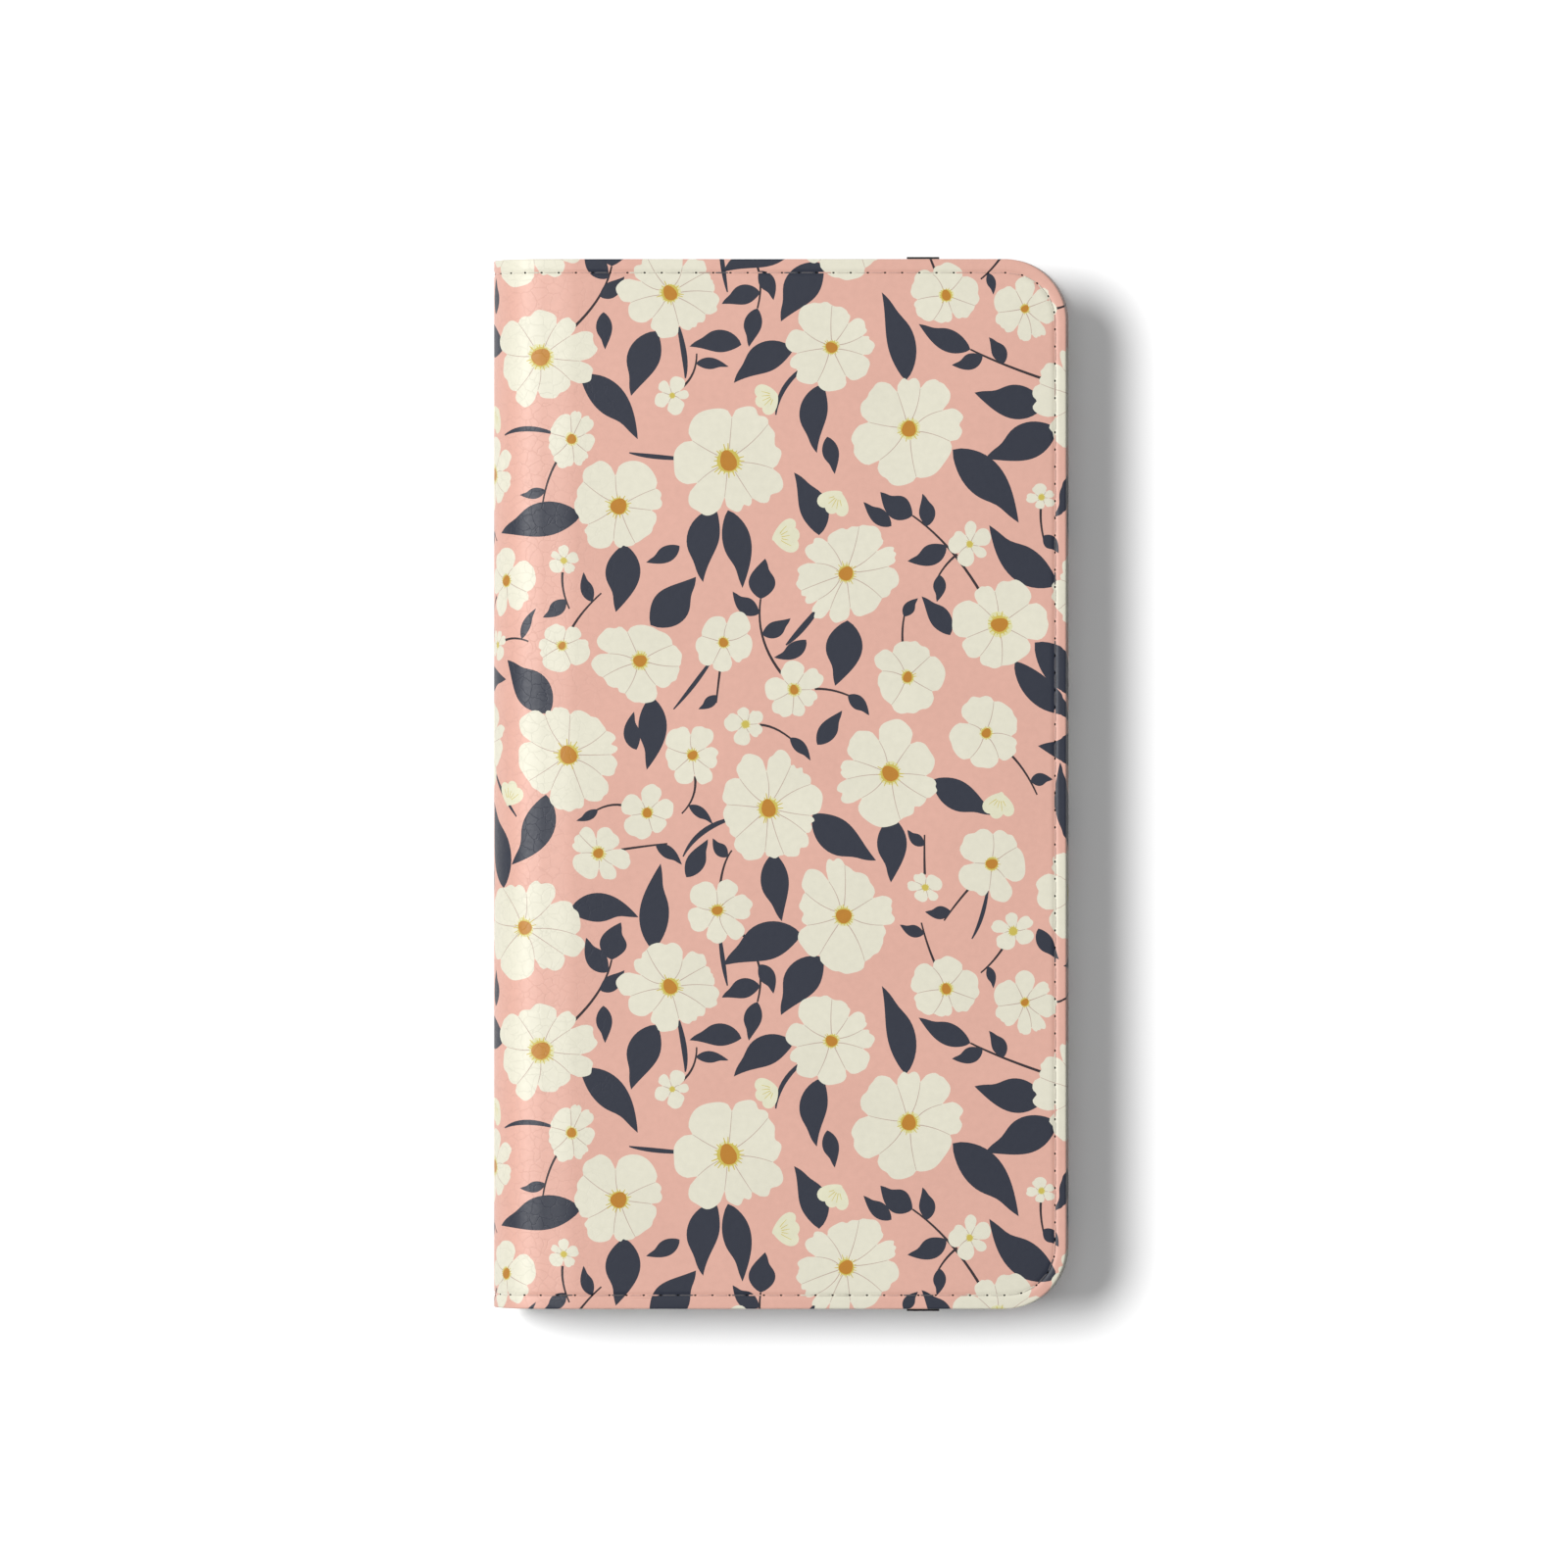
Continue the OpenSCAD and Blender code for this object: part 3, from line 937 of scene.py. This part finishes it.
def leather_surface(points):
    """Where the leather's outer surface is, for points on the strip."""
    moved, drop, s = folded_edge(points)
    moved, window_drop = folded_window(moved)
    valley = VALLEY * np.exp(-(((s - SEAM) / 0.35) ** 2))
    dents = np.zeros(len(points))
    near = np.abs(s - SEAM) < 0.3
    gaps = points[near][:, None] - SEAM_POINTS[None]
    along = (gaps * SEAM_WAYS).sum(2) / HOLE_HALF[0]
    beside = (gaps * left_of(SEAM_WAYS)).sum(2) / HOLE_HALF[1]
    dents[near] = HOLE_DEPTH * np.maximum(1 - along**2 - beside**2, 0).max(1)
    return moved, -(drop + window_drop + valley + dents), s


def inner_point(x, y):
    """The place on the leather's inner face that is under a point on the strip."""
    return on_strip(np.array([x]), np.array([y]), -SKIN_T)[0].tolist()


def inner_face(places, flat, edges, turns):
    """Triangles that close a piece of leather from behind, inside a border of points it has."""
    rings = sorted(loops(edges), key=len, reverse=True)
    rings = [rings[0]] + [ring[::-1] for ring in rings[1:]]
    outline, *holes = [np.array([flat[k] for k in ring]) for ring in rings]
    low, high = outline[:, 0].min(), outline[:, 0].max()
    lines = lines_across(turns, EDGE_Y + 1, low + 0.01, high - 0.01)
    points, triangles, origin = triangulate(outline, holes, lines)
    known = [k for ring in rings for k in ring]
    index = []
    for p, source in zip(points, origin):
        if 0 <= source < len(known):
            index.append(known[source])
        else:
            index.append(len(places))
            places.append(inner_point(*p))
            flat.append(p.tolist())
    return np.array(index)[triangles[:, ::-1]].tolist()


def leather_piece(name, strip, low, high, material):
    """One closed piece of leather between two cuts: printed surface, inner face and cut ends."""
    middle = strip.points[strip.triangles].mean(1)[:, 0]
    mine = (middle > low) & (middle < high)
    used, triangles = np.unique(strip.triangles[mine], return_inverse=True)
    triangles = triangles.reshape(-1, 3)
    points, moved, s = strip.points[used], strip.moved[used], strip.inset[used]
    places = on_strip(moved[:, 0], moved[:, 1], strip.height[used]).tolist()
    flat = moved.tolist()
    beneath = {}

    def below(x, y):
        """The inner face's point under a place on the strip."""
        key = (round(x, 3), round(y, 3))
        if key not in beneath:
            beneath[key] = len(places)
            places.append(inner_point(x, y))
            flat.append([x, y])
        return beneath[key]

    faces = triangles.tolist()
    inner_edges = []
    for a, b in border(triangles):
        on_cut = any(abs(points[a][0] - cut) + abs(points[b][0] - cut) < 1e-3 for cut in CUTS)
        if on_cut and min(s[a], s[b]) < RIM - 1e-3:
            faces.append((b, a, below(moved[a][0], math.copysign(EDGE_Y - RIM, moved[a][1]))))
        else:
            under = below(*moved[a]), below(*moved[b])
            if under[0] == under[1]:
                faces.append((b, a, under[0]))
                continue
            faces.append((b, a, *under))
            inner_edges.append(under)
    faces += inner_face(places, flat, inner_edges, strip.turns)
    piece = add_piece(name, places, faces, material)
    # painted shade: every face but the printed surface gets the ground colour darkened
    inside = np.array(INK[GROUND]) * ([INSIDE_SHADE] * 3 + [1.0])
    shades = np.tile(inside, (len(faces), 1))
    shades[: len(triangles)] = strip.shades[mine]
    paint(piece, faces, shades)
    chart(piece, "on_leather", np.vstack([points, flat[len(points):]]))
    return piece


class Strip:
    """The whole cover as one printed sheet, ready to be cut into pieces."""

    def __init__(self, pattern):
        self.outlines, self.colours = printed_shapes(pattern)
        lines, self.turns = strip_lines()
        window = window_line(-PAST_WINDOW)
        outline = cover_line(-PAST_EDGE)
        self.points, self.triangles, _ = triangulate(outline, [window], lines, self.outlines)
        self.shades = self.colours_at(self.points[self.triangles].mean(1), len(self.outlines))
        self.moved, self.height, self.inset = leather_surface(self.points)
        # painted shade: the print on the wall below the rolled edge is darkened
        wall = self.inset[self.triangles].mean(1) < ROLL * (1 - math.pi / 2)
        self.shades[wall] *= [WALL_SHADE] * 3 + [1.0]

    def colours_at(self, points, count):
        """The print's colours at some points, from its first shapes only."""
        colours = np.vstack([self.colours[:count], [INK[GROUND]]])
        return colours[topmost(points, self.outlines[:count])]


# ---------------- the pieces of the strip

# Each piece of the strip lies between two turns round the spine, in degrees from the front cover,
# and bends between the two bodies that meet there. The last entry names the nodes it stands for.
PARTS = {
    "front": (-90, 45, "front_cover", "spine_3", ["front_{}"]),
    "fold_upper": (45, 90, "spine_3", "spine_2", ["spine_{}_3"]),
    "fold_lower": (90, 135, "spine_2", "spine_1", ["spine_{}_2"]),
    "back": (135, 270, "spine_1", "back_cover", ["spine_{}_1", "back_{}"]),
}


def u_range(part):
    """The stretch of the strip that a part covers."""
    first, last = PARTS[part][:2]
    high = EDGE_X + 9 if first < 0 else SPINE_X - RADIUS * math.radians(first)
    low = CROWN - REACH - 9 if last > 180 else SPINE_X - RADIUS * math.radians(last)
    return low, high


def join_spine(piece, part):
    """Bends a piece with the bodies on either side of its fold."""
    first, last, body, next_body = PARTS[part][:4]
    start = spine_point(max(first, 0))
    end = spine_point(min(last, 180))
    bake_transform(piece, body, next_body, start=tuple(start), end=tuple(end))


def make_leather(strip):
    material = printed_leather()
    for part in PARTS:
        piece = leather_piece(f"leather_{part}", strip, *u_range(part), material)
        join_spine(piece, part)
        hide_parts(*[name.format("skin") for name in PARTS[part][4]])


def lining_face(points, depth):
    """Places that deep in the lining. It steps off the boards onto the spine."""
    u, v = points.T
    on_cover = smooth((np.abs(u - CROWN) - HALF_TURN / 2 - 0.2) / 0.4)
    return on_strip(u, v, -SKIN_T - (COVER_T - SPINE_T) * on_cover - depth)


def make_lining():
    material = microfibre()
    margin = RIM + 0.05
    outline = cover_line(margin)
    turns = [*np.arange(SPINE_X - HALF_TURN, SPINE_X, HALF_TURN / 60)]
    turns += [SPINE_X + 0.1 * k for k in range(9)]
    turns += [SPINE_X - HALF_TURN - 0.1 * k for k in range(9)]
    for part in PARTS:
        low, high = u_range(part)
        low, high = max(low, CROWN - REACH + margin), min(high, EDGE_X - margin)
        kept = clipped(outline, low, high)
        lines = lines_across(turns, EDGE_Y, low + 0.02, high - 0.02)
        holes = [window_line(0.0)] if part == "back" else []
        piece = sheet(f"lining_{part}", kept, lambda p: lining_face(p, 0.0),
                      lambda p: lining_face(p, LINING_T), material, holes, lines)
        join_spine(piece, part)
        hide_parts(*[name.format("lining") for name in PARTS[part][4]])


def clipped(outline, low, high):
    """The part of a convex outline between two values of u."""
    for limit, sign in ((low, 1), (high, -1)):
        kept = []
        for a, b in zip(outline, np.roll(outline, -1, axis=0)):
            inside_a = sign * (a[0] - limit) >= 0
            inside_b = sign * (b[0] - limit) >= 0
            if inside_a:
                kept.append(a)
            if inside_a != inside_b:
                t = (limit - a[0]) / (b[0] - a[0])
                kept.append(a + t * (b - a))
        outline = np.array(kept)
    return outline


# ---------------- stitches

STITCH_RINGS = 11
STITCH_SIDES = 8
INNER_THREAD = 0.36  # thickness of the inner seams' thread
GREY_THREAD = (122, 116, 116)  # its colour


def stitch(length, thick):
    """One stitch at the origin, along the first axis: its points, its faces, and for each point
    how far along the stitch and how far round it is."""
    t = np.linspace(-1.0, 1.0, STITCH_RINGS)
    radius = thick / 2 * np.sqrt(np.maximum(1 - t**6, 0.03))
    sink = -0.2 * np.abs(t) ** 9
    a = np.arange(STITCH_SIDES) * math.tau / STITCH_SIDES
    x = np.repeat(t * length / 2, STITCH_SIDES)
    y = np.outer(radius, np.cos(a)).ravel()
    z = (np.outer(radius, np.sin(a)) + sink[:, None]).ravel()
    faces = []
    for ring in range(STITCH_RINGS - 1):
        for k in range(STITCH_SIDES):
            p, q = ring * STITCH_SIDES, (k + 1) % STITCH_SIDES
            faces.append((p + k, p + k + STITCH_SIDES, p + q + STITCH_SIDES, p + q))
    faces.append(tuple(range(STITCH_SIDES)))
    faces.append(tuple(range((STITCH_RINGS - 1) * STITCH_SIDES, STITCH_RINGS * STITCH_SIDES))[::-1])
    around = np.tile(a / math.tau, STITCH_RINGS)
    return np.column_stack([x, y, z]), faces, np.column_stack([x, around])


def stitch_row(name, centres, ways, height, place, material, colours=None, thick=0.24):
    """Stitches at some centres. place turns points on the strip and heights into places."""
    shape, faces, twist = stitch(PITCH - 0.32, thick)
    places, all_faces, twists = [], [], []
    for k, (centre, way) in enumerate(zip(centres, ways)):
        side = np.array([-way[1], way[0]])
        flat = centre + np.outer(shape[:, 0], way) + np.outer(shape[:, 1], side)
        places.append(place(flat[:, 0], flat[:, 1], height + shape[:, 2]))
        all_faces += [tuple(i + k * len(shape) for i in face) for face in faces]
        twists.append(twist + [0.37 * k, 0])
    piece = add_piece(name, np.vstack(places), all_faces, material)
    chart(piece, "on_thread", np.vstack(twists) * [6.0, 2.0])
    if colours is not None:
        paint(piece, all_faces, np.repeat(colours, len(faces), axis=0))
    return piece


def make_seam(strip):
    """The seam round the cover, its outer and its inner side. A stitch lies between two holes."""
    count = len(SEAM_POINTS)
    centres = (SEAM_POINTS + np.roll(SEAM_POINTS, -1, axis=0)) / 2
    ways = unit(np.roll(SEAM_POINTS, -1, axis=0) - SEAM_POINTS)
    outer, inner = thread("printed_thread"), thread("lining_thread", GREY_THREAD)
    pale = np.array(linear(244, 226, 214))
    above_holes = len(strip.outlines) - 2 * count
    colours = 0.95 * strip.colours_at(centres, above_holes) + 0.05 * pale
    for part in PARTS:
        low, high = u_range(part)
        mine = (centres[:, 0] > low) & (centres[:, 0] < high)
        piece = stitch_row(f"stitches_{part}", centres[mine], ways[mine], -VALLEY, on_strip,
                           outer, colours[mine])
        join_spine(piece, part)
        if part in ("front", "back"):
            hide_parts(f"{part}_thread")
        if part == "back":
            continue
        if part == "front":
            level = CASH_LOW[2] - TOP_Z
            mine &= centres[:, 0] > POCKET_X + PITCH / 2
        else:
            level = -SPINE_T
            mine &= np.abs(centres[:, 0] - CROWN) < HALF_TURN / 2 - PITCH / 2
        piece = stitch_row(f"inner_stitches_{part}", centres[mine], ways[mine], level,
                           lambda u, v, h: on_strip(u, v, 2 * level - h),
                           inner, thick=INNER_THREAD)
        join_spine(piece, part)


# ---------------- pockets

CASH_LOW, CASH_HIGH = node_box("cash_pocket")
CARD_LOWS = [node_box(f"card_slot_{k}")[0] for k in (1, 2, 3)]
CARD_HIGH = node_box("card_slot_3")[1]
POCKET_X = CASH_LOW[0]  # mouth of the cash pocket
PANEL_INSET = EDGE_Y - CASH_HIGH[1]
NOTCH = 7.0  # radius of the thumb notch in a mouth
CARD_SEAM = 1.6  # from a card panel's edge to its seam


def mouth(x, half):
    """A pocket's mouth from top to bottom, with its thumb notch."""
    a = np.linspace(math.pi / 2, -math.pi / 2, 25)
    notch = np.column_stack([x + NOTCH * np.cos(a), NOTCH * np.sin(a)])
    return np.vstack([[[x, half]], notch, [[x, -half]]])


def shrunk(outline, distance):
    """An outline moved inwards, point by point."""
    outline = anticlockwise(outline)
    before = left_of(unit(outline - np.roll(outline, 1, axis=0)))
    after = left_of(unit(np.roll(outline, -1, axis=0) - outline))
    way = (before + after) / (1 + (before * after).sum(1))[:, None]
    return outline + distance * way


def distance_to(outline, points):
    """Distance from points to an outline."""
    a = outline
    d = np.roll(outline, -1, axis=0) - a
    length = (d**2).sum(1)
    best = np.full(len(points), 1e9)
    for start, step, size in zip(a, d, length):
        t = np.clip(((points - start) @ step) / size, 0, 1)
        best = np.minimum(best, np.hypot(*(points - start - t[:, None] * step).T))
    return best


def pocket_panel(name, node, edge, material):
    """One leather panel inside the front cover, from its mouth to the rest of its edge. The edge
    is rounded, and a crease runs along the mouth on both sides of the notch."""
    low, high = node_box(node)
    outline = anticlockwise(np.vstack([mouth(low[0], high[1]), edge]))
    soft = 0.16
    creases = crease_lines(low[0], high[1] - 3)
    lines = [closed(shrunk(outline, d)) for d in (0.04, 0.09, soft, 0.3)] + creases

    def lower(points):
        near = np.minimum(distance_to(outline, points) / soft, 1.0)
        height = soft * (1 - np.sqrt(1 - (1 - near) ** 2))
        groove = np.zeros(len(points))
        for crease in creases[2::5]:
            gap = distance_to(np.asarray(crease), points)
            groove = np.maximum(groove, 0.1 * np.exp(-((gap / 0.12) ** 2)))
        return np.column_stack([points, low[2] + height + groove])

    def upper(points):
        return np.column_stack([points, np.full(len(points), high[2])])

    piece = sheet(name, outline, upper, lower, material, (), lines)
    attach(piece, "front_cover")
    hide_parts(node)


def crease_lines(x, half):
    """Lines close together along a mouth, for a pressed crease in the middle of each five."""
    return [[(x + d, side * half), (x + d, side * (NOTCH + 1.5))]
            for side in (1, -1) for d in (1.2, 1.35, 1.5, 1.65, 1.8)]


def make_pockets():
    material = pocket_leather()
    corner = CORNER - PANEL_INSET
    ring = rounded((CASH_HIGH[0] + 60, CASH_HIGH[1]), corner, (-60.0, 0.0))
    right = clipped(anticlockwise(ring), POCKET_X, 1e3)
    arcs = right[right[:, 0] > POCKET_X + 1e-6]
    downwards = np.argsort(np.arctan2(arcs[:, 1], arcs[:, 0] - 10))
    pocket_panel("cash_panel", "cash_pocket", arcs[downwards], material)
    for k in (1, 2, 3):
        low, high = node_box(f"card_slot_{k}")
        side = [(high[0], low[1]), (high[0], high[1])]
        pocket_panel(f"card_panel_{k}", f"card_slot_{k}", side, material)
    make_card_seam()


def card_level(x):
    """Height of the card panels' visible face, which steps down at each mouth."""
    return min(low[2] for low in CARD_LOWS if low[0] < x)


def make_card_seam():
    """The seam that holds the card panels along their closed sides."""
    mouths = [low[0] for low in CARD_LOWS]
    right, half = CARD_HIGH[:2] - CARD_SEAM
    start = mouths[0] + 1.2
    run = np.array([(start, half), (right, half), (right, -half), (start, -half)])
    centres, ways = [], []
    for a, b in zip(run, run[1:]):
        length = np.hypot(*(b - a))
        count = round(length / PITCH)
        for k in range(count):
            centre = a + (b - a) * (k + 0.5) / count
            if min(abs(centre[0] - x) for x in mouths) > PITCH / 2:
                centres.append(centre)
                ways.append((b - a) / length)
    piece = stitch_row("pocket_stitches", np.array(centres), np.array(ways), 0.0,
                       lambda x, y, h: np.column_stack([x, y, card_level(x.mean()) - h]),
                       thread("pocket_thread", GREY_THREAD),
                       thick=INNER_THREAD)
    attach(piece, "front_cover")
    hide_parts("pocket_thread")


# ---------------- shell and hidden parts


def softened(name, node, width, material):
    """A CAD part's shape with its edges rounded."""
    mesh = bpy.data.meshes.new(name)
    work = bmesh.new()
    work.from_mesh(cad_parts[node].data)
    bmesh.ops.remove_doubles(work, verts=work.verts, dist=1e-6)
    bmesh.ops.dissolve_limit(work, angle_limit=math.radians(0.5), verts=work.verts, edges=work.edges)
    work.to_mesh(mesh)
    work.free()
    for attribute in [a for a in mesh.attributes if "normal" in a.name]:
        mesh.attributes.remove(attribute)
    mesh.shade_smooth()
    mesh.materials.clear()
    mesh.materials.append(material)
    piece = new_object(name, mesh)
    bevel = piece.modifiers.new("edges", "BEVEL")
    bevel.width = width * MM
    bevel.segments = 3
    bevel.limit_method = "ANGLE"
    bevel.angle_limit = math.radians(35)
    bevel.harden_normals = True
    return piece


def make_shell():
    piece = softened("moulded_shell", "phone_shell", 0.14, shell_plastic())
    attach(piece, "back_cover")
    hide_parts("phone_shell")


def finish_hidden_parts():
    looks = {"board": greyboard(), "magnets": nickel(), "adhesive": adhesive_film()}
    for name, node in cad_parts.items():
        for ending, material in looks.items():
            if name.endswith(ending):
                node.data.materials.clear()
                node.data.materials.append(material)


# ---------------- stage

CAMERA_HEIGHT = 2.0  # above the closed case, in metres
CAMERA_X = 0.0005
FRAME_WIDTH = 0.2464  # width of the picture at the cover
FLOOR_DEPTH = 0.0002  # so that the back cover's underside stays clear of it


def make_stage():
    bpy.ops.mesh.primitive_plane_add(size=6.0, location=(0, 0, -FLOOR_DEPTH))
    floor = bpy.context.object
    floor.name = "floor"
    n = Nodes("floor")
    shade = n.spread(n.noise(n.millimetres(), 0.02), 0.0, 1.0, 0.94, 0.95)
    grey = n.add("ShaderNodeCombineColor", {0: shade, 1: shade, 2: shade}).outputs[0]
    floor.data.materials.append(n.finish(Base_Color=grey, Roughness=0.9, Specular_IOR_Level=0.1))


def make_light(name, place, length, width, power):
    """A soft oval light, longest along y, that points at the middle of the stage."""
    data = bpy.data.lights.new(name, "AREA")
    data.shape = "ELLIPSE"
    data.size = length
    data.size_y = width
    data.energy = power
    light = new_object(name, data)
    light.location = place
    light.rotation_euler = (-light.location).to_track_quat("-Z", "Y").to_euler()
    return light


def make_lights():
    make_light("key", (-1.16, 0.32, 1.56), 1.3, 1.05, 54)
    ceiling = make_light("ceiling", (0.3, 0.3, 2.9), 2.0, 2.0, 18)
    ceiling.visible_glossy = False
    world = bpy.data.worlds.new("studio")
    world.use_nodes = True
    background = world.node_tree.nodes["Background"]
    background.inputs[0].default_value = (1.0, 1.0, 1.0, 1.0)
    background.inputs[1].default_value = 0.2
    bpy.context.scene.world = world
    bpy.context.scene.view_settings.view_transform = "Standard"


def make_camera():
    data = bpy.data.cameras.new("camera")
    data.sensor_width = 36.0
    data.lens = data.sensor_width * CAMERA_HEIGHT / FRAME_WIDTH
    data.clip_end = 20
    camera = new_object("camera", data)
    camera.location = (CAMERA_X, 0.0, TOP_Z * MM + CAMERA_HEIGHT)
    bpy.context.scene.camera = camera


strip = Strip(Print(11))
make_leather(strip)
make_lining()
make_seam(strip)
make_pockets()
make_shell()
finish_hidden_parts()
make_stage()
make_lights()
make_camera()
